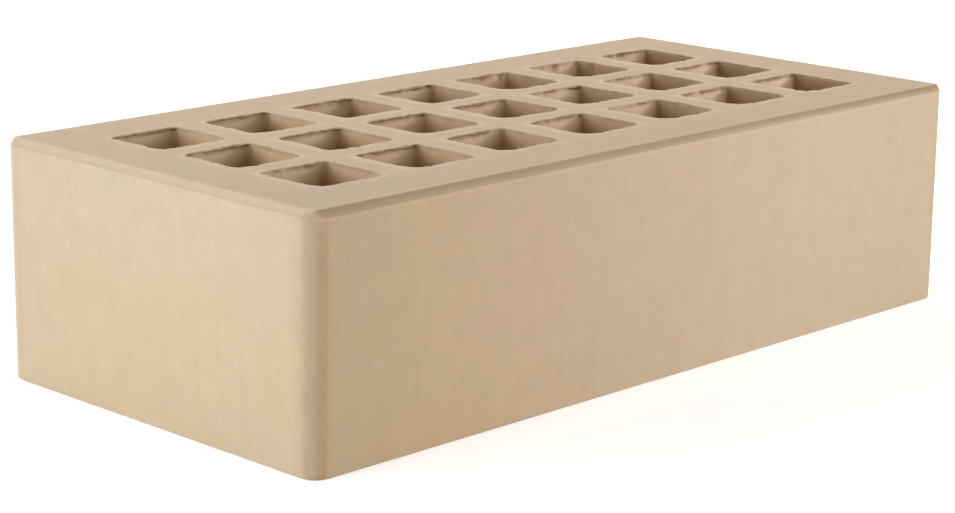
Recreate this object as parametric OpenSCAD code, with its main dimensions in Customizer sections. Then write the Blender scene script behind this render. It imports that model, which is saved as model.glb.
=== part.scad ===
// Perforated clay facing brick, 250 x 120 x 65 mm format.
//
// One extruded, wire-cut and fired unit. The clay column is pushed through a
// die along Z, so the outline with its rounded corners and the rows of square
// perforations have the same section all the way through, from bed face to
// bed face. The four arrises of the upper bed face are chamfered, the lower
// ones are left as the wire cut them.
//
// Frame: origin at the centre of the lower bed face, +X along the stretcher
// (long) faces, +Y along the header (short) faces, +Z up through the
// perforations.

/* [Outline] */
// Length of the brick, along X
brick_length = 250; // [230:1:290]
// Width of the brick, along Y
brick_width = 120; // [115:1:140]
// Height of the brick, between its bed faces
brick_height = 65; // [50:1:90]
// Radius of the four upright corners
corner_radius = 5; // [3:0.5:8]
// Chamfer round the upper bed face, across and down
top_chamfer = 2; // [0.5:0.5:2.5]

/* [Perforations] */
// Rows of perforations across the width
hole_rows = 3; // [1:1:3]
// Perforations in each row, along the length
holes_per_row = 7; // [1:1:7]
// Side of one square perforation
hole_side = 22.5; // [16:0.5:23.5]
// Radius of a perforation's upright corners
hole_corner_radius = 3.5; // [1:0.5:6]
// Thickness of the web between two perforations of one row
web_length = 9; // [6:0.5:9.5]
// Thickness of the web between two rows
web_width = 7; // [5:0.5:8]

/* [Finish] */
// Colour of the fired clay
clay_colour = "#D0BC9C"; // ["#D0BC9C":buff, "#B5654A":red, "#8A5A44":brown]

/* [Hidden] */

$fn = 64;
over = 1;                                  // how far a cut runs past a face
pitch_x = hole_side + web_length;          // along a row
pitch_y = hole_side + web_width;           // from row to row
first_x = -pitch_x * (holes_per_row - 1) / 2;
first_y = -pitch_y * (hole_rows - 1) / 2;

// Outline of the die: a rectangle with round corners.
module die_outline() {
    square([brick_length, brick_width - 2 * corner_radius], center = true);
    square([brick_length - 2 * corner_radius, brick_width], center = true);
    for (sx = [-1, 1], sy = [-1, 1])
        translate([sx * (brick_length / 2 - corner_radius),
                   sy * (brick_width / 2 - corner_radius)])
            circle(r = corner_radius);
}

// Upright section of the given width with its two upper corners chamfered.
module chamfered_section(width) {
    polygon([
        [-width / 2, 0],
        [width / 2, 0],
        [width / 2, brick_height - top_chamfer],
        [width / 2 - top_chamfer, brick_height],
        [-width / 2 + top_chamfer, brick_height],
        [-width / 2, brick_height - top_chamfer]
    ]);
}

// Bar that chamfers the two long upper arrises, along X.
module stretcher_bar() {
    translate([-brick_length / 2 - over, 0, 0])
        rotate([90, 0, 90])
            linear_extrude(height = brick_length + 2 * over)
                chamfered_section(brick_width);
}

// Bar that chamfers the two short upper arrises, along Y.
module header_bar() {
    translate([0, brick_width / 2 + over, 0])
        rotate([90, 0, 0])
            linear_extrude(height = brick_width + 2 * over)
                chamfered_section(brick_length);
}

// The brick before perforation: what the die, the wire and the two pairs of
// straight arris chamfers leave, so the chamfers meet in mitres.
module solid_brick() {
    intersection() {
        linear_extrude(height = brick_height)
            die_outline();
        stretcher_bar();
        header_bar();
    }
}

// Outline of one perforation: a square with round corners.
module perforation_outline() {
    flat = hole_side - 2 * hole_corner_radius;
    square([hole_side, flat], center = true);
    square([flat, hole_side], center = true);
    for (sx = [-1, 1], sy = [-1, 1])
        translate([sx * flat / 2, sy * flat / 2])
            circle(r = hole_corner_radius);
}

// All the perforations, each run past both bed faces.
module perforations() {
    for (row = [0 : hole_rows - 1], col = [0 : holes_per_row - 1])
        translate([first_x + col * pitch_x, first_y + row * pitch_y, -over])
            linear_extrude(height = brick_height + 2 * over)
                perforation_outline();
}

// The whole brick.
module brick() {
    color(clay_colour)
        difference() {
            solid_brick();
            perforations();
        }
}

brick();
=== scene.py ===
"""Looks of the perforated clay facing brick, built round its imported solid.

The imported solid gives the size. The visible brick is one closed mesh made here:
pressed arrises, wire-cut bed faces, ragged and smeared perforation rims, torn
clay under the far rims, and a die skin on the four sides.
All shapes are worked out in millimetres and scaled to metres at the end.
"""

import math

import bpy
import numpy as np
from mathutils import Matrix, Vector


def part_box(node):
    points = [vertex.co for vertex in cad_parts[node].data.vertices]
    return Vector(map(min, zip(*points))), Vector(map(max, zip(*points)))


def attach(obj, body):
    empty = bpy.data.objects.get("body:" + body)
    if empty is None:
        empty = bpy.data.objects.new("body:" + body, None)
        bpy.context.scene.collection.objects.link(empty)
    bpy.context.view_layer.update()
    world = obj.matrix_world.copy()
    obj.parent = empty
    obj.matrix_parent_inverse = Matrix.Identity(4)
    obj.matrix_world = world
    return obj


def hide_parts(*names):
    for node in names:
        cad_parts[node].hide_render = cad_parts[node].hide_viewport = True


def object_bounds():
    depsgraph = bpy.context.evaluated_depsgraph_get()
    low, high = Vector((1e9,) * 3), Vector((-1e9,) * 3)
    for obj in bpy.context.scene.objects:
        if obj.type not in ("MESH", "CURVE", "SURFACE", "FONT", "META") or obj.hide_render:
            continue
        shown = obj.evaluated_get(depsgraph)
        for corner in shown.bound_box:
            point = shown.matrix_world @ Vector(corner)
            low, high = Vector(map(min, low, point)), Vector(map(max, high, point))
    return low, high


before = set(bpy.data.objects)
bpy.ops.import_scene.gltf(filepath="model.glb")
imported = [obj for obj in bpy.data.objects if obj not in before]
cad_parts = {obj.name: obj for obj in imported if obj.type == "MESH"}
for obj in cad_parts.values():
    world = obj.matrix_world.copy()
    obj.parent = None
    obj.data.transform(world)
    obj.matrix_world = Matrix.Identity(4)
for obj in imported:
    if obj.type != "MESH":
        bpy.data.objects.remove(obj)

cad_low, cad_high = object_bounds()
cad_low, cad_high = list(cad_low), list(cad_high)
low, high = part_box("brick")
L, W, H = [(high[i] - low[i]) * 1000.0 for i in range(3)]

# Perforations: the same grid as the solid's.
HOLE = 22.5
HOLE_R = (4.1, 3.5, 1.5, 2.9)
PITCH_X = 31.5
PITCH_Y = 29.5
NX, NY = 7, 3
CORNER_R = 5.0
CHAMFER = 2.0

# ---------------------------------------------------------------- noise


def _lattice(ix, iy, iz, seed):
    m = np.int64(0xFFFFFFFF)
    h = (
        ((ix & m) * np.int64(374761393))
        ^ ((iy & m) * np.int64(668265263))
        ^ ((iz & m) * np.int64(1274126177))
        ^ np.int64(seed * 974711 + 12345)
    ) & m
    h = ((h ^ (h >> 15)) * np.int64(739982445)) & m
    h = ((h ^ (h >> 13)) * np.int64(695872825)) & m
    h = h ^ (h >> 16)
    return h.astype(np.float64) / 2147483647.5 - 1.0


def vnoise(p, scale, seed):
    """Smooth value noise in -1..1 at points p (n, 3); scale may be one size or three."""
    q = np.asarray(p, float) / np.asarray(scale, float)
    i = np.floor(q).astype(np.int64)
    f = q - i
    w = f * f * f * (f * (f * 6 - 15) + 10)
    out = 0.0
    for dx in (0, 1):
        wx = w[:, 0] if dx else 1 - w[:, 0]
        for dy in (0, 1):
            wy = w[:, 1] if dy else 1 - w[:, 1]
            for dz in (0, 1):
                wz = w[:, 2] if dz else 1 - w[:, 2]
                out = out + wx * wy * wz * _lattice(
                    i[:, 0] + dx, i[:, 1] + dy, i[:, 2] + dz, seed
                )
    return out


def fbm(p, scale, octaves, seed, gain=0.5):
    total, amp, norm = 0.0, 1.0, 0.0
    s = np.asarray(scale, float)
    for k in range(octaves):
        total = total + amp * vnoise(p, s, seed + 17 * k)
        norm += amp
        amp *= gain
        s = s / 2.0
    return total / norm


def smooth(a, b, x):
    t = np.clip((x - a) / (b - a), 0.0, 1.0)
    return t * t * (3 - 2 * t)


# ---------------------------------------------------------------- outlines


def rounded_loop(hx, hy, radii, nx, ny, k):
    """Points and outward normals of a rounded rectangle.
    radii: of the corners -X-Y, +X-Y, +X+Y, -X+Y. nx and ny segments from corner
    middle to corner middle along X and Y, k of them on each half arc. Starts at
    the middle of the -X-Y corner and runs along -Y first, anticlockwise."""
    pts, nor = [], []
    corners = [(-hx, -hy), (hx, -hy), (hx, hy), (-hx, hy)]
    dirs = [(1, 0), (0, 1), (-1, 0), (0, -1)]
    outs = [(0, -1), (1, 0), (0, 1), (-1, 0)]
    for q in range(4):
        r0, r1 = radii[q], radii[(q + 1) % 4]
        d, n = dirs[q], outs[q]
        a0, a1 = corners[q], corners[(q + 1) % 4]
        c0 = (a0[0] + r0 * (d[0] - n[0]), a0[1] + r0 * (d[1] - n[1]))
        c1 = (a1[0] - r1 * (d[0] + n[0]), a1[1] - r1 * (d[1] + n[1]))
        for i in range(k):
            a = (-math.pi / 4) * (1 - i / k)
            v = (math.cos(a) * n[0] + math.sin(a) * d[0], math.cos(a) * n[1] + math.sin(a) * d[1])
            pts.append((c0[0] + r0 * v[0], c0[1] + r0 * v[1]))
            nor.append(v)
        s0 = (c0[0] + r0 * n[0], c0[1] + r0 * n[1])
        s1 = (c1[0] + r1 * n[0], c1[1] + r1 * n[1])
        m = (nx, ny)[q % 2] - 2 * k
        for i in range(m):
            t = i / m
            pts.append((s0[0] + (s1[0] - s0[0]) * t, s0[1] + (s1[1] - s0[1]) * t))
            nor.append(n)
        for i in range(k):
            a = (math.pi / 4) * (i / k)
            v = (math.cos(a) * n[0] + math.sin(a) * d[0], math.cos(a) * n[1] + math.sin(a) * d[1])
            pts.append((c1[0] + r1 * v[0], c1[1] + r1 * v[1]))
            nor.append(v)
    return np.array(pts), np.array(nor)


class Mesh:
    def __init__(self):
        self.co, self.faces, self.n = [], [], 0
        self.att = {"cut": [], "rim": [], "tear": [], "hole": [], "arris": [], "deep": [], "pale": [], "dim": [], "tr": [], "tg": [], "tb": []}

    def add(self, pts, **att):
        pts = np.asarray(pts, float).reshape(-1, 3)
        start = self.n
        self.co.append(pts)
        for key in self.att:
            v = att.get(key, 0.0)
            self.att[key].append(np.broadcast_to(np.asarray(v, float), (len(pts),)).copy())
        self.n += len(pts)
        return np.arange(start, self.n)

    def strip(self, a, b, closed=True):
        """Quads between two rings of the same length; faces look to the left of a -> b."""
        n = len(a)
        for i in range(n if closed else n - 1):
            j = (i + 1) % n
            self.faces.append((a[i], a[j], b[j], b[i]))

    def halve(self, a, b):
        """Between a ring a of 2n points and a ring b of n points, b[i] under a[2i]."""
        n = len(b)
        for i in range(n):
            j = (i + 1) % n
            p, q, s = a[2 * i], a[2 * i + 1], a[(2 * i + 2) % (2 * n)]
            self.faces.append((p, q, b[i]))
            self.faces.append((q, b[j], b[i]))
            self.faces.append((q, s, b[j]))


M = Mesh()


def tone(lum, red, blue):
    """Attributes that paint light and shade into the clay's colour: brightness, then red and blue against green."""
    return {"tr": lum * red - 1.0, "tg": lum - 1.0, "tb": lum * blue - 1.0}


# ---------------------------------------------------------------- bed faces

SEG = 32  # segments on each side of a cell at the top
SEG_LOW = 16  # at the lower face
cell_x = [(i - (NX - 1) / 2) * PITCH_X for i in range(NX)]
cell_y = [(j - (NY - 1) / 2) * PITCH_Y for j in range(NY)]
grid_hx, grid_hy = NX * PITCH_X / 2, NY * PITCH_Y / 2


def top_relief(p):
    """Height of the wire-cut upper face over its mean plane, in mm."""
    drag = fbm(p * [1, 1, 0], (1.6, 14.0, 1.0), 3, 11) * 0.045
    lumps = fbm(p * [1, 1, 0], (9.0, 9.0, 1.0), 3, 12) * 0.07
    grit = vnoise(p * [1, 1, 0], (1.3, 1.3, 1.0), 13) * 0.03
    return drag + lumps + grit


TOP_Z = H - 0.24
LOW_Z = 0.10


def grid_index(seg, z, relief):
    """Vertices of the web grid's cell boundaries on a bed face: {(gx, gy): index}."""
    pts, keys = [], []
    nx, ny = NX * seg, NY * seg
    for gx in range(nx + 1):
        for gy in range(ny + 1):
            if gx % seg == 0 or gy % seg == 0:
                keys.append((gx, gy))
                pts.append((-grid_hx + gx * PITCH_X / seg, -grid_hy + gy * PITCH_Y / seg, z))
    pts = np.array(pts)
    pts[:, 2] += relief(pts)
    ids = M.add(pts, cut=1.0)
    return {k: int(i) for k, i in zip(keys, ids)}


def cell_ring(grid, seg, i, j):
    x0, y0 = i * seg, j * seg
    ring = [grid[(x0 + s, y0)] for s in range(seg)]
    ring += [grid[(x0 + seg, y0 + s)] for s in range(seg)]
    ring += [grid[(x0 + seg - s, y0 + seg)] for s in range(seg)]
    ring += [grid[(x0, y0 + seg - s)] for s in range(seg)]
    return ring


def outer_ring(grid, seg):
    nx, ny = NX * seg, NY * seg
    ring = [grid[(s, 0)] for s in range(nx)]
    ring += [grid[(nx, s)] for s in range(ny)]
    ring += [grid[(nx - s, ny)] for s in range(nx)]
    ring += [grid[(0, ny - s)] for s in range(ny)]
    return ring


def co_of(ids):
    allco = np.concatenate(M.co)
    return allco[np.asarray(ids)]


grid_top = grid_index(SEG, TOP_Z, top_relief)
grid_low = grid_index(SEG_LOW, LOW_Z, lambda p: -top_relief(p * [1, -1, 1] + [300, 0, 0]) * 0.8)
co_now = np.concatenate(M.co)

# ---------------------------------------------------------------- perforations

# Rim rows, from the web down to the wall: offset into the clay and depth below the
# upper face for a lip radius of 1, then how far torn clay is cut back there.
RIM = [
    # offset, depth, ragged, torn, mark: cut, rim (smear with painted highlight), tear (with painted shade), hole
    (2.30, 0.00, 0.50, 0.00, 1.0, 0.90, 0.0, 0.0),
    (1.60, 0.00, 0.80, 0.00, 1.0, 1.00, 0.0, 0.0),
    (1.10, 0.01, 1.00, -0.04, 0.9, 1.00, 0.0, 0.0),
    (0.70, 0.05, 1.10, -0.12, 0.7, 1.00, 0.0, 0.1),
    (0.38, 0.18, 1.15, -0.10, 0.4, 0.90, 0.05, 0.4),
    (0.17, 0.40, 1.00, 0.50, 0.2, 0.30, 1.00, 0.8),
    (0.05, 0.72, 0.95, 0.85, 0.1, 0.00, 1.00, 1.0),
    (0.00, 1.10, 0.80, 0.55, 0.0, 0.00, 0.50, 1.0),
]
WALL = [1.55, 2.15, 3.0, 4.2, 5.8, 8.2, 11.5]
WALL_LOW = [17.0, 27.0, 39.0, 51.0, 59.0, 63.0]
LOW_PROFILE = [(0.0, 64.2), (0.12, 64.65), (0.45, 64.9), (1.2, 65.0)]


# how far down its far wall each perforation is torn and painted darker as shade, by row from -Y and column from -X
BITE = [
    (0.05, 0.08, 0.05, 0.05, 0.05, 0.05, 0.05),
    (0.10, 0.08, 0.05, 0.08, 0.08, 0.12, 0.10),
    (0.12, 0.22, 0.35, 0.00, 0.42, 0.62, 0.25),
]


def perforation(i, j):
    seed = 100 + 10 * i + 97 * j
    rng = np.random.RandomState(seed)
    cx, cy = cell_x[i], cell_y[j]
    n = 4 * SEG
    # outline with a wider bend in the two corners that the clay was dragged over
    pts, nor = rounded_loop(HOLE / 2, HOLE / 2, HOLE_R, SEG, SEG, 4)
    base = np.column_stack([pts[:, 0] + cx, pts[:, 1] + cy, np.zeros(n)])
    s_pos = np.column_stack([pts, np.full(n, seed * 3.1)])
    # slow bends of the walls, the same all the way down
    slow = fbm(s_pos, 9.0, 2, seed) * 0.34
    ang = np.arctan2(pts[:, 1], pts[:, 0])
    for k in (2, 3):
        slow += rng.uniform(-0.16, 0.16) * np.cos(k * ang + rng.uniform(0, 6.28))
    # sides: near = where the wire smears clay over the edge, far = where it tears
    far_y, far_x = smooth(0.35, 0.9, nor[:, 1]), smooth(0.35, 0.9, nor[:, 0])
    near = np.maximum(smooth(0.3, 0.9, -nor[:, 1]), smooth(0.3, 0.9, -nor[:, 0]))
    lip = 0.26 + 0.42 * near
    lip *= 1.0 + 0.30 * fbm(s_pos, 5.0, 2, seed + 1)
    ragged = fbm(s_pos, 2.6, 3, seed + 2, gain=0.65)
    crumb = vnoise(s_pos, 1.15, seed + 3)
    patch = fbm(s_pos + 50, 6.5, 2, seed + 4)
    dash = fbm(s_pos + 20, 2.2, 2, seed + 7)
    burr = np.clip(1.0 + 0.9 * ragged + 1.1 * vnoise(s_pos + 33, 1.5, seed + 11), 0.0, 2.3)
    amount = rng.uniform(0.05, 0.45) - 0.32 * smooth(2.0, 5.0, i)
    # torn clay under the far rims; its amount also paints the clay darker there, as shade in the undercut
    tear = far_y * smooth(-0.50, 0.25, patch + 0.8 * dash + amount)
    tear = np.maximum(tear, 0.30 * far_x * smooth(-0.15, 0.30, patch + 0.5 * dash))
    tear = np.clip(tear, 0, 1)
    shift = 0.20 * vnoise(s_pos + 70, 1.6, seed + 9) + 0.20
    # a few larger broken pockets, mostly towards the far corner
    chip = np.zeros(n)
    for _ in range(rng.randint(1, 4)):
        a0 = rng.normal(math.radians(80), math.radians(28))
        w0 = rng.uniform(0.05, 0.15)
        da = np.angle(np.exp(1j * (ang - a0)))
        chip = np.maximum(chip, np.exp(-((da / w0) ** 2)) * rng.uniform(0.35, 1.0))
    if rng.uniform() < 0.7:
        da = np.angle(np.exp(1j * (ang - math.radians(rng.uniform(50, 66)))))
        chip = np.maximum(chip, np.exp(-((da / rng.uniform(0.09, 0.17)) ** 2)) * rng.uniform(0.5, 1.0))
    chip *= 0.75 + 0.5 * crumb
    inner_bend = 1 - 0.85 * np.exp(-(((ang - math.pi / 4) / 0.16) ** 2))

    def ring(offset, wall=1.0, rag=1.0, torn=0.0):
        d = offset + slow * wall + rag * (0.17 * ragged + 0.12 * crumb) + torn
        return np.column_stack([base[:, 0] + nor[:, 0] * d, base[:, 1] + nor[:, 1] * d, np.zeros(n)])

    outer = cell_ring(grid_top, SEG, i, j)
    outer_co = co_now[np.asarray(outer)]
    rings = []
    # web rings between the cell boundary and the rim
    first = ring(RIM[0][0] * lip, rag=0.35)
    # the web grows paler towards the rim: smeared clay with a painted highlight, stronger on the near rims
    wide = np.clip(0.75 + 0.9 * vnoise(s_pos, 7.0, seed + 12), 0.1, 1.3) * (0.6 + 0.4 * near)
    for t, m_rim in ((0.36, 0.22), (0.70, 0.62)):
        p = outer_co * (1 - t) + first * t
        p[:, 2] = TOP_Z + top_relief(p) + 0.03 * m_rim * near
        rings.append(M.add(p, cut=1.0, rim=np.clip(m_rim * wide, 0, 1)))
    for k, (off, dep, rag, torn, m_cut, m_rim, m_tear, m_hole) in enumerate(RIM):
        # the lip stands a little proud where clay was dragged towards it
        proud = (0.03, 0.09, 0.17, 0.20, 0.14, 0.04, 0.0, 0.0)[k] * burr * (0.40 + 0.80 * near)
        drop = chip * (0.0, 0.03, 0.14, 0.34, 0.42, 0.36, 0.18, 0.05)[k]
        back_cut = torn * tear * (0.85 + 0.35 * crumb) + chip * inner_bend * (0.0, 0.0, 0.1, 0.3, 0.5, 0.7, 0.7, 0.5)[k]
        p = ring(off * lip, rag=rag, torn=back_cut)
        rel = top_relief(p) * (1 - k / 8.0)
        grain = 0.07 * vnoise(np.column_stack([p[:, :2], np.full(n, k * 1.7)]), 0.9, seed + 6) * (k > 1)
        p[:, 2] = TOP_Z + rel - dep * (0.62 + 0.5 * lip) + proud - drop + grain - (k > 3) * shift * tear
        # rim rows: torn clay and chips painted darker, as shade in their undercut; painted shade on the right-hand
        # walls, stronger from column to column; paler smeared lips with a painted highlight
        rings.append(
            M.add(
                p,
                cut=m_cut,
                rim=m_rim * (0.6 + 0.4 * near) * (1 - 0.8 * np.clip(chip, 0, 1)),
                tear=np.clip(m_tear * tear + 0.9 * chip * (k > 2), 0, 1),
                hole=m_hole,
                dim=far_x * (0, 0, 0, 0, 0.3, 0.9, 1.0, 1.0)[k] * (0.40 + 0.60 * i / 6.0),
            )
        )
    bite = BITE[j][i]
    # the far walls are painted paler towards their common corner from column to column, as painted light, and the
    # right-hand walls darker and warmer, as painted shade
    cornerward = far_y * smooth(-6.0, 9.0, pts[:, 0]) * i / 6.0
    for k, dep in enumerate(WALL):
        fade = (0.18 + bite, 0.8 * bite, 0.35 * bite, 0.0, 0.0, 0.0, 0.0)[k]
        p = ring(0.0, rag=0.5 * math.exp(-(dep - 1.1) / 0.9) + 0.12, torn=0.6 * fade * (tear + chip))
        streak = 0.07 * vnoise(np.column_stack([s_pos[:, :2], np.full(n, dep * 0.12 + seed)]), 0.9, seed + 8)
        p[:, 0] += nor[:, 0] * streak
        p[:, 1] += nor[:, 1] * streak
        p[:, 2] = H - dep
        # upper walls: painted light on the far walls and towards their corner, painted shade deeper down and on the
        # right-hand walls, and painted shade in the torn clay at the top
        rings.append(
            M.add(
                p,
                tear=np.clip(fade * (tear + chip), 0, 1),
                hole=1.0,
                deep=smooth(2.4, 7.5, dep) * (1 - 0.7 * far_x),
                pale=np.clip(far_y * (0.27 + 0.065 * i) * (0.75 if j == 2 else 1.1) + 0.5 * cornerward, 0, 1) * smooth(0.8, 1.8, dep) * (1 - smooth(5.0, 9.0, dep)) + 0.4 * far_x * smooth(2.5, 6.0, dep),
                dim=far_x * (0.3 + 0.7 * i / 6.0) * (1 - 0.35 * smooth(3.0, 7.0, dep)),
                **tone(1.0 + 0.09 * cornerward - 0.16 * far_x * smooth(1.5, 5.5, i) * (1 - smooth(2.5, 6.0, dep)), 1.0 + 0.085 * far_x - 0.03 * far_y, 1.0 - 0.08 * far_x + 0.06 * far_y),
            )
        )
    M.strip(outer, rings[0])
    for a, b in zip(rings[:-1], rings[1:]):
        M.strip(a, b)
    # lower part, half as many points
    half = slice(0, n, 2)
    low_rings = []
    for dep in WALL_LOW:
        p = ring(0.0, rag=0.12)[half]
        p[:, 2] = H - dep
        # the lower walls take the full painted depth shade
        low_rings.append(M.add(p, hole=1.0, deep=1.0))
    for k, (off, dep) in enumerate(LOW_PROFILE):
        p = ring(off * (0.7 + 0.3 * lip), rag=0.8 * (1 - k * 0.15))[half]
        p[:, 2] = H - dep + (LOW_Z if k == 3 else 0.05)
        # the lower rims get a little of the paler rim smear with its painted highlight
        low_rings.append(M.add(p, hole=1.0 - k * 0.33, cut=k * 0.33, rim=0.5 if k in (1, 2) else 0.2))
    outer_low = cell_ring(grid_low, SEG_LOW, i, j)
    t = 0.5
    p = co_now[np.asarray(outer_low)] * t + np.concatenate(M.co)[low_rings[-1]] * (1 - t)
    low_rings.append(M.add(p, cut=1.0))
    M.halve(list(rings[-1]), list(low_rings[0]))
    for a, b in zip(low_rings[:-1], low_rings[1:]):
        M.strip(a, b)
    M.strip(low_rings[-1], outer_low)


for i in range(NX):
    for j in range(NY):
        perforation(i, j)

# ---------------------------------------------------------------- outer margins and sides

NXS, NYS = NX * SEG, NY * SEG
die, die_n = rounded_loop(L / 2, W / 2, [CORNER_R] * 4, NXS, NYS, 7)
inner, inner_n = rounded_loop(L / 2 - CHAMFER, W / 2 - CHAMFER, [0.7] * 4, NXS, NYS, 7)
N_OUT = len(die)
long_side = np.abs(die_n[:, 1])

loop_top = outer_ring(grid_top, SEG)
loop_top_co = co_now[np.asarray(loop_top)]
prev = loop_top
MARGIN = 11
arris_in = np.column_stack([inner, np.zeros(N_OUT)])
for k in range(1, MARGIN + 1):
    t = k / MARGIN
    t = 1 - (1 - t) ** 1.25
    p = loop_top_co * (1 - t) + arris_in * t
    p[:, 2] = TOP_Z + top_relief(p) * (1.0 if k < MARGIN else 0.5)
    # painted highlight along the top face's edge at the chamfer
    ids = M.add(p, cut=1.0 if k < MARGIN else 0.8, pale=(0.45 if k == MARGIN else 0.20) * (k >= MARGIN - 1))
    M.strip(ids, prev)
    prev = ids

seed_pos = np.column_stack([die, np.zeros(N_OUT)])


def side_wave(p):
    """How far the side faces bow from their planes, in mm."""
    return fbm(p, (70.0, 70.0, 60.0), 2, 31) * 0.10 + vnoise(p, (3.0, 3.0, 26.0), 33) * 0.018


def ends(stops, s):
    return np.interp(s, [a for a, _ in stops], [b for _, b in stops])


# painted light and shade: how the colour drifts along the stretchers (-X to +X) and over the -X header (+Y to -Y), with
# painted shade on the bend of the -X upright corners
along, over = die[:, 0] / L + 0.5, 0.5 - die[:, 1] / W
on_header = smooth(0.35, 0.05, long_side) * (die_n[:, 0] < 0)
on_bend = smooth(0.02, 0.30, long_side) * smooth(1.0, 0.96, long_side) * (die_n[:, 0] < 0)
near_bend = smooth(W / 2 - 9.0, W / 2 - 4.5, np.abs(die[:, 1])) * on_header
stretch_lum = ends([(0.0, 0.955), (0.06, 0.975), (0.15, 1.008), (0.30, 1.03), (0.50, 1.045), (0.62, 1.065), (0.76, 1.055), (0.90, 1.0), (1.0, 0.965)], along)
stretch_red = ends([(0.0, 1.035), (0.2, 1.015), (0.4, 1.0), (0.65, 0.988), (1.0, 0.982)], along)
stretch_blue = ends([(0.0, 0.945), (0.15, 0.95), (0.30, 0.972), (0.45, 1.015), (0.60, 1.04), (1.0, 1.04)], along)
header_lum = ends([(0.0, 0.945), (0.08, 0.95), (0.25, 0.975), (0.45, 1.003), (0.65, 1.026), (1.0, 1.036)], over) * (1 - 0.05 * near_bend)
bend_lum = ends([(0.0, 0.94), (0.35, 0.915), (0.65, 0.90), (0.88, 0.97), (1.0, 1.0)], long_side)


def drift(z):
    """Painted light and shade round the outline at height z, as a colour shift."""
    h = z / H
    w = long_side * (1 - on_header)
    lum = (stretch_lum * (1 + 0.03 * (1 - 2 * h))) * w + header_lum * on_header
    other = 1 - w - on_header
    red, blue = stretch_red * w + other + on_header, stretch_blue * w + other
    blue = blue + on_header * (0.965 + 0.055 * smooth(0.45, 0.9, h) - 0.05 * smooth(0.962, 0.985, h))
    lum = lum + other
    lum = lum * (1 - on_bend) + bend_lum * on_bend
    return tone(lum, red * (1 + 0.05 * on_bend), blue * (1 - 0.03 * on_bend))


# pressed arris: sharp at the bed face, bending over towards the side and ending
# on it in a fine ridge
ARRIS = [
    # t along the chamfer, arris mark (painted shade), pale mark (painted highlight)
    (0.05, 0.7, 0.0),
    (0.16, 1.1, 0.0),
    (0.34, 1.05, 0.0),
    (0.54, 0.6, 0.0),
    (0.74, 0.15, 0.03),
    (0.90, 0.0, 0.15),
    (1.00, 0.0, 0.28),
]
ARRIS_DROP = 1.85
ARRIS_BULGE = 0.06
# painted highlight at the tip of the -X upright corners
nib = np.exp(-(((long_side - 0.55) / 0.22) ** 2)) * (die[:, 0] < 0)
arris_wave = vnoise(seed_pos, (16.0, 16.0, 1.0), 41) * 0.12 + vnoise(seed_pos, (3.5, 3.5, 1.0), 42) * 0.04
for t, mark, light in ARRIS:
    xy = inner * (1 - t) + die * t
    bow = ARRIS_BULGE * math.sin(math.pi * t)
    p = np.column_stack([xy + die_n * (bow + 0.4 * arris_wave * math.sin(math.pi * t))[:, None], np.zeros(N_OUT)])
    p[:, 2] = TOP_Z - 0.02 - (ARRIS_DROP + 1.2 * arris_wave) * t + bow
    p[:, :2] = np.clip(p[:, :2], [-L / 2, -W / 2], [L / 2, W / 2])
    # painted shade on the stretcher chamfers, darker towards +X; painted light on the header chamfer, at the foot of
    # the stretcher chamfers and at the -X corner tips; painted light and shade drifting along the faces
    ids = M.add(p, arris=mark * long_side * (0.35 + 0.65 * (die[:, 0] / L + 0.5)), pale=np.maximum(light * long_side ** 2, 0.6 * (1 - t ** 3) * (1 - long_side)) + 0.7 * nib * (1 - t), **drift(H - ARRIS_DROP * t))
    M.strip(ids, prev)
    prev = ids

SIDE = [2.42, 2.85, 3.6, 4.8, 6.5] + list(np.linspace(8.6, 61.0, 20)) + [62.6, 63.6, 64.2, 64.6, 64.85]
# painted shade on the stretcher side of the bend of each upright corner
bend = 0.42 * smooth(0.68, 0.85, long_side) * (1 - smooth(0.985, 1.0, long_side))
for dep in SIDE:
    edge = 0.55 * max(0.0, 1 - (H - dep) / 0.8) ** 2
    p = np.column_stack([die, np.full(N_OUT, H - dep)])
    wave = side_wave(p) - 0.06
    p[:, :2] += die_n * (wave - edge)[:, None]
    # painted shade on the bends of the upright corners and darker along the foot; a painted highlight just under the
    # stretcher chamfers; painted light and shade drifting along the faces
    ids = M.add(p, arris=max(0.0, 1 - (H - dep) / 0.7) * 0.6, pale=(0.2 if dep < 2.6 else 0.0) * long_side ** 2, dim=bend * min(1.0, dep / 6.0), **drift(H - dep))
    M.strip(ids, prev)
    prev = ids

# lower bed face margin: half as many points
loop_low = outer_ring(grid_low, SEG_LOW)
loop_low_co = co_now[np.asarray(loop_low)]
half = slice(0, N_OUT, 2)
p = np.column_stack([die - die_n * 0.75, np.full(N_OUT, 0.02)])[half]
# darker along the bottom edge, as painted shade
ids = M.add(p, cut=0.6, arris=0.4)
M.halve(list(prev)[::1], list(ids))
HALVED = len(M.faces) - 3 * len(ids)
prev = ids
LOW_MARGIN = 5
start_co = p.copy()
for k in range(1, LOW_MARGIN):
    t = k / LOW_MARGIN
    q = start_co * (1 - t) + loop_low_co * t
    q[:, 2] = LOW_Z - top_relief(q * [1, -1, 1] + [300, 0, 0]) * 0.8
    ids = M.add(q, cut=1.0)
    M.strip(prev, ids)
    prev = ids
M.strip(prev, loop_low)

co = np.concatenate(M.co)
co[:, 2] = np.clip(co[:, 2], 0.0, H)


def build(name, co_mm, faces, atts):
    mesh = bpy.data.meshes.new(name)
    mesh.from_pydata((co_mm * 0.001).tolist(), [], [tuple(int(v) for v in f) for f in faces])
    mesh.update()
    for key, val in atts.items():
        a = mesh.attributes.new(key, "FLOAT", "POINT")
        a.data.foreach_set("value", np.asarray(val, np.float32))
    ob = bpy.data.objects.new(name, mesh)
    bpy.context.scene.collection.objects.link(ob)
    return ob


atts = {k: np.concatenate(v) for k, v in M.att.items()}
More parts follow.
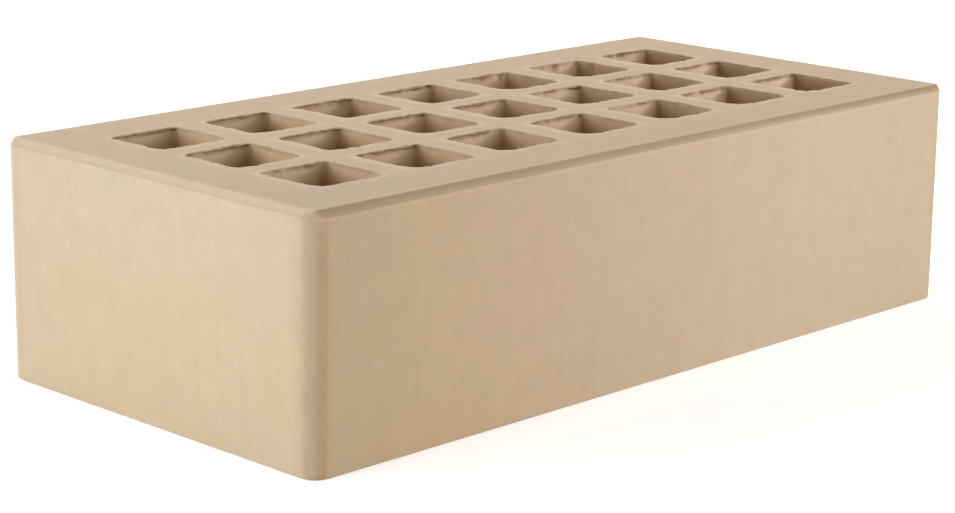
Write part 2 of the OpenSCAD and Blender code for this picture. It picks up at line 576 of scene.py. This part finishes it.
# the tint carries painted light and shade along the faces and on the hole walls
tint = 1.0 + np.column_stack([atts.pop(k) for k in ("tr", "tg", "tb")])
brick = build("clay_body", co, M.faces, atts)
brick.data.attributes.new("tint", "FLOAT_VECTOR", "POINT").data.foreach_set("vector", tint.astype(np.float32).ravel())

import bmesh

bm = bmesh.new()
bm.from_mesh(brick.data)
bmesh.ops.recalc_face_normals(bm, faces=bm.faces)
open_edges = sum(1 for e in bm.edges if not e.is_manifold)
vol = bm.calc_volume(signed=True)
if vol < 0:
    bmesh.ops.reverse_faces(bm, faces=bm.faces)
bm.to_mesh(brick.data)
tris = sum(len(f.verts) - 2 for f in bm.faces)
bm.free()
brick.data.polygons.foreach_set("use_smooth", [True] * len(brick.data.polygons))
brick.data.update()
print("brick mesh: triangles", tris, "open edges", open_edges, "volume cm3", round(abs(vol) * 1e6, 1))

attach(brick, "root")
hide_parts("brick")

# ---------------------------------------------------------------- material


def clay_material():
    m = bpy.data.materials.new("fired_clay")
    m.use_nodes = True
    nt = m.node_tree
    nt.nodes.clear()
    N, LK = nt.nodes.new, nt.links.new
    out = N("ShaderNodeOutputMaterial")
    bsdf = N("ShaderNodeBsdfPrincipled")
    LK(bsdf.outputs["BSDF"], out.inputs["Surface"])
    tc = N("ShaderNodeTexCoord")
    obj = tc.outputs["Object"]

    def mapping(scale, loc=(0, 0, 0)):
        n = N("ShaderNodeMapping")
        n.inputs["Scale"].default_value = scale
        n.inputs["Location"].default_value = loc
        LK(obj, n.inputs["Vector"])
        return n.outputs["Vector"]

    def noise(vec, scale, detail=2.0, rough=0.5):
        n = N("ShaderNodeTexNoise")
        n.inputs["Scale"].default_value = scale
        n.inputs["Detail"].default_value = detail
        n.inputs["Roughness"].default_value = rough
        LK(vec, n.inputs["Vector"])
        return n.outputs["Fac"]

    def ramp(fac, stops, interp="LINEAR"):
        n = N("ShaderNodeValToRGB")
        n.color_ramp.interpolation = interp
        e = n.color_ramp.elements
        while len(e) < len(stops):
            e.new(0.5)
        for el, (pos, col) in zip(e, stops):
            el.position = pos
            el.color = (*col, 1) if len(col) == 3 else col
        LK(fac, n.inputs["Fac"])
        return n.outputs["Color"]

    def mix(kind, fac, a, b):
        n = N("ShaderNodeMix")
        n.data_type = "RGBA"
        n.blend_type = kind
        for sock, v in ((n.inputs["Factor"], fac), (n.inputs[6], a), (n.inputs[7], b)):
            if isinstance(v, (int, float)):
                sock.default_value = v
            elif isinstance(v, tuple):
                sock.default_value = (*v, 1)
            else:
                LK(v, sock)
        return n.outputs[2]

    def math_(op, a, b=0.0, clamp=False):
        n = N("ShaderNodeMath")
        n.operation = op
        n.use_clamp = clamp
        for sock, v in ((n.inputs[0], a), (n.inputs[1], b)):
            if isinstance(v, (int, float)):
                sock.default_value = v
            else:
                LK(v, sock)
        return n.outputs[0]

    def attr(name):
        n = N("ShaderNodeAttribute")
        n.attribute_name = name
        return n.outputs["Fac"]

    cut, rim, tear, deep, arris, pale, dim = (attr(a) for a in ("cut", "rim", "tear", "deep", "arris", "pale", "dim"))
    plain = mapping((1, 1, 1))

    # body colour: slow mottling between a yellower and a pinker buff
    big = noise(plain, 26.0, 3.0, 0.55)
    base = ramp(big, [(0.30, (0.657, 0.524, 0.354)), (0.50, (0.662, 0.520, 0.357)), (0.70, (0.667, 0.514, 0.362))])
    mid = noise(mapping((1, 1, 1), (3.1, 1.7, 0.4)), 150.0, 3.0, 0.6)
    base = mix("MULTIPLY", 1.0, base, ramp(mid, [(0.30, (0.971, 0.968, 0.960)), (0.70, (1.024, 1.024, 1.024))]))
    # sandy grain
    grain = noise(plain, 1150.0, 2.0, 0.7)
    base = mix("MULTIPLY", 1.0, base, ramp(grain, [(0.28, (0.955, 0.951, 0.943)), (0.50, (1.0, 1.0, 1.0)), (0.72, (1.037, 1.037, 1.041))]))
    # upright streaks of the die on the sides
    streak = noise(mapping((1, 1, 0.045)), 520.0, 2.0, 0.6)
    side_only = math_("SUBTRACT", 1.0, cut, clamp=True)
    streak_c = ramp(streak, [(0.30, (0.986, 0.984, 0.982)), (0.70, (1.012, 1.012, 1.012))])
    base = mix("MULTIPLY", side_only, base, streak_c)
    # painted light and shade: slow drift of the colour from end to end, round the corners and on the hole walls
    drift = N("ShaderNodeAttribute")
    drift.attribute_name = "tint"
    base = mix("MULTIPLY", 1.0, base, drift.outputs["Vector"])
    # the cut faces burn a touch redder than the skin of the die
    base = mix("MULTIPLY", cut, base, (1.014, 0.995, 0.995))
    # painted shade on the pressed arrises of the stretchers and along the foot
    base = mix("MULTIPLY", arris, base, (0.845, 0.75, 0.665))
    # rims: paler and pinker, smeared clay with a painted highlight on the near lips
    base = mix("MIX", math_("MULTIPLY", rim, 0.62), base, (0.800, 0.640, 0.490))
    # painted light: the top edge, the header chamfer, the foot of the stretcher chamfers, the corner tips and the far
    # hole walls
    base = mix("MULTIPLY", pale, base, (1.28, 1.28, 1.28))
    # painted shade deeper in the perforations
    base = mix("MULTIPLY", deep, base, (0.93, 0.86, 0.79))
    # painted shade on the right-hand hole walls and on the bends of the upright corners
    base = mix("MULTIPLY", dim, base, (0.70, 0.63, 0.55))
    # torn clay: darker brown, with painted shade in its undercut
    base = mix("MULTIPLY", tear, base, (0.50, 0.39, 0.29))
    # sparse dark specks
    vor = N("ShaderNodeTexVoronoi")
    vor.feature = "F1"
    vor.inputs["Scale"].default_value = 420.0
    vor.inputs["Randomness"].default_value = 1.0
    LK(plain, vor.inputs["Vector"])
    pick = N("ShaderNodeSeparateColor")
    LK(vor.outputs["Color"], pick.inputs["Color"])
    near_pt = math_("LESS_THAN", vor.outputs["Distance"], 0.11)
    some = math_("GREATER_THAN", pick.outputs["Red"], 0.90)
    speck = math_("MULTIPLY", near_pt, some)
    base = mix("MULTIPLY", math_("MULTIPLY", speck, 0.32), base, (0.52, 0.44, 0.38))
    LK(base, bsdf.inputs["Base Color"])

    # roughness: dusty, following the grain
    rr = N("ShaderNodeMapRange")
    rr.inputs["From Min"].default_value = 0.3
    rr.inputs["From Max"].default_value = 0.7
    rr.inputs["To Min"].default_value = 0.82
    rr.inputs["To Max"].default_value = 0.97
    LK(grain, rr.inputs["Value"])
    LK(rr.outputs["Result"], bsdf.inputs["Roughness"])
    bsdf.inputs["Specular IOR Level"].default_value = 0.25
    if "Diffuse Roughness" in bsdf.inputs:
        bsdf.inputs["Diffuse Roughness"].default_value = 0.6

    # relief: grain, coarser lumps on the cut faces, fine drag on the sides, pits
    fine = noise(plain, 1500.0, 3.0, 0.65)
    coarse = noise(mapping((1, 1, 1), (7.0, 2.0, 5.0)), 430.0, 3.0, 0.6)
    hsum = math_("ADD", math_("MULTIPLY", fine, 0.45), math_("MULTIPLY", coarse, math_("ADD", math_("MULTIPLY", cut, 0.7), 0.35)))
    hsum = math_("ADD", hsum, math_("MULTIPLY", streak, 0.25))
    hsum = math_("SUBTRACT", hsum, math_("MULTIPLY", speck, 0.5))
    bump = N("ShaderNodeBump")
    bump.inputs["Strength"].default_value = 0.25
    bump.inputs["Distance"].default_value = 0.00022
    LK(hsum, bump.inputs["Height"])
    LK(bump.outputs["Normal"], bsdf.inputs["Normal"])
    return m


brick.data.materials.clear()
brick.data.materials.append(clay_material())

# ---------------------------------------------------------------- floor, light, camera


def floor_material():
    m = bpy.data.materials.new("floor_pale")
    m.use_nodes = True
    nt = m.node_tree
    b = nt.nodes["Principled BSDF"]
    n = nt.nodes.new("ShaderNodeTexNoise")
    n.inputs["Scale"].default_value = 3.0
    r = nt.nodes.new("ShaderNodeValToRGB")
    r.color_ramp.elements[0].color = (0.90, 0.90, 0.90, 1)
    r.color_ramp.elements[1].color = (0.93, 0.93, 0.93, 1)
    nt.links.new(n.outputs["Fac"], r.inputs["Fac"])
    nt.links.new(r.outputs["Color"], b.inputs["Base Color"])
    b.inputs["Roughness"].default_value = 0.9
    b.inputs["Specular IOR Level"].default_value = 0.1
    # a table lit softly through its top, brighter to the eye than to the brick
    path = nt.nodes.new("ShaderNodeLightPath")
    glow = nt.nodes.new("ShaderNodeMapRange")
    glow.inputs["To Min"].default_value = 0.045
    glow.inputs["To Max"].default_value = 0.52
    nt.links.new(path.outputs["Is Camera Ray"], glow.inputs["Value"])
    nt.links.new(glow.outputs["Result"], b.inputs["Emission Strength"])
    b.inputs["Emission Color"].default_value = (1, 1, 1, 1)
    return m


fm = bpy.data.meshes.new("floor")
S = 6.0
fm.from_pydata([(-S, -S, 0), (S, -S, 0), (S, S, 0), (-S, S, 0)], [], [(0, 1, 2, 3)])
floor = bpy.data.objects.new("floor", fm)
fm.materials.append(floor_material())
bpy.context.scene.collection.objects.link(floor)


def area_light(name, at, aim, size, power, color=(1, 1, 1)):
    d = bpy.data.lights.new(name, "AREA")
    d.shape = "RECTANGLE"
    d.size, d.size_y = size
    d.energy = power
    d.color = color
    o = bpy.data.objects.new(name, d)
    o.location = at
    o.rotation_euler = (Vector(aim) - Vector(at)).to_track_quat("-Z", "Y").to_euler()
    bpy.context.scene.collection.objects.link(o)
    return o


COOL = (0.925, 1.015, 1.075)
WARM = (1.06, 0.985, 0.95)
LIGHTS = [
    # name, position (m), aim, size (m), power (W), colour
    ("left_box", (-1.2, 0.25, 0.30), (0, 0, 0.03), (0.8, 0.5), 2.77, COOL),
    ("left_strip", (-1.08, 0.20, 0.24), (0, 0, 0.05), (0.6, 0.16), 2.26, COOL),
    ("left_near", (-0.55, 0.10, 0.14), (-0.1, 0, 0.05), (0.35, 0.10), 0.89, COOL),
    ("left_high", (-0.6, 0.3, 0.45), (0, 0, 0.05), (0.4, 0.3), 0.43, COOL),
    ("back_box", (0.7, 1.3, 1.0), (0, 0, 0.06), (1.2, 0.8), 25.8, WARM),
    ("back_left", (-0.5, 1.1, 0.9), (0, 0, 0.06), (0.8, 0.6), 4.3, WARM),
    ("front_strip", (0.45, -0.75, 0.20), (0.12, -0.05, 0.05), (0.3, 0.14), 1.06, (1, 1, 1)),
    ("front_strip_left", (0.12, -0.75, 0.20), (0.12, -0.05, 0.05), (0.3, 0.14), 0.38, (1, 1, 1)),
    ("front_right_high", (0.45, -0.75, 0.30), (0.10, -0.05, 0.05), (0.3, 0.14), 1.45, (1, 1, 1)),
    ("front_near_high", (0.42, -0.58, 0.22), (0.10, -0.05, 0.05), (0.3, 0.10), 0.75, (1, 1, 1)),
    ("front_high", (0.15, -0.78, 0.32), (0.05, -0.05, 0.05), (0.3, 0.14), 1.22, (1, 1, 1)),
    ("right_high", (0.75, -0.70, 0.36), (0.08, -0.05, 0.05), (0.4, 0.2), 0.99, (1, 1, 1)),
]
for spec in LIGHTS:
    area_light(*spec)

world = bpy.data.worlds.new("studio")
bpy.context.scene.world = world
world.use_nodes = True
wn = world.node_tree
wn.nodes.clear()
wo = wn.nodes.new("ShaderNodeOutputWorld")
bg = wn.nodes.new("ShaderNodeBackground")
bg.inputs["Color"].default_value = (1, 1, 1, 1)
bg.inputs["Strength"].default_value = 0.02
white = wn.nodes.new("ShaderNodeBackground")
white.inputs["Strength"].default_value = 1.0
path = wn.nodes.new("ShaderNodeLightPath")
pick = wn.nodes.new("ShaderNodeMixShader")
wn.links.new(path.outputs["Is Camera Ray"], pick.inputs["Fac"])
wn.links.new(bg.outputs["Background"], pick.inputs[1])
wn.links.new(white.outputs["Background"], pick.inputs[2])
wn.links.new(pick.outputs["Shader"], wo.inputs["Surface"])

# Camera: fitted to the object's own edges
AZ, EL, ROLL = 45.65, 13.99, 0.71
FOCAL_PX = 2587.5
T = Vector((0.00683, -0.02195, -0.73030))
a, e, r = math.radians(-AZ), math.radians(EL), math.radians(ROLL)
back = Vector((math.sin(a) * math.cos(e), -math.cos(a) * math.cos(e), math.sin(e)))
right = Vector((0, 0, 1)).cross(back).normalized()
up = back.cross(right)
right_r = right * math.cos(r) + up * math.sin(r)
up_r = -right * math.sin(r) + up * math.cos(r)
rows = Matrix((right_r, up_r, back))
cam_data = bpy.data.cameras.new("camera")
cam_data.sensor_width = 36.0
cam_data.lens = FOCAL_PX * 36.0 / 955.0
cam_data.clip_start = 0.01
cam = bpy.data.objects.new("camera", cam_data)
cam_at = -(rows.transposed() @ T)
cam.matrix_world = Matrix.Translation(cam_at) @ rows.transposed().to_4x4()
bpy.context.scene.collection.objects.link(cam)
bpy.context.scene.camera = cam

bpy.context.scene.view_settings.view_transform = "Standard"
bpy.context.scene.view_settings.look = "None"

bpy.context.view_layer.update()
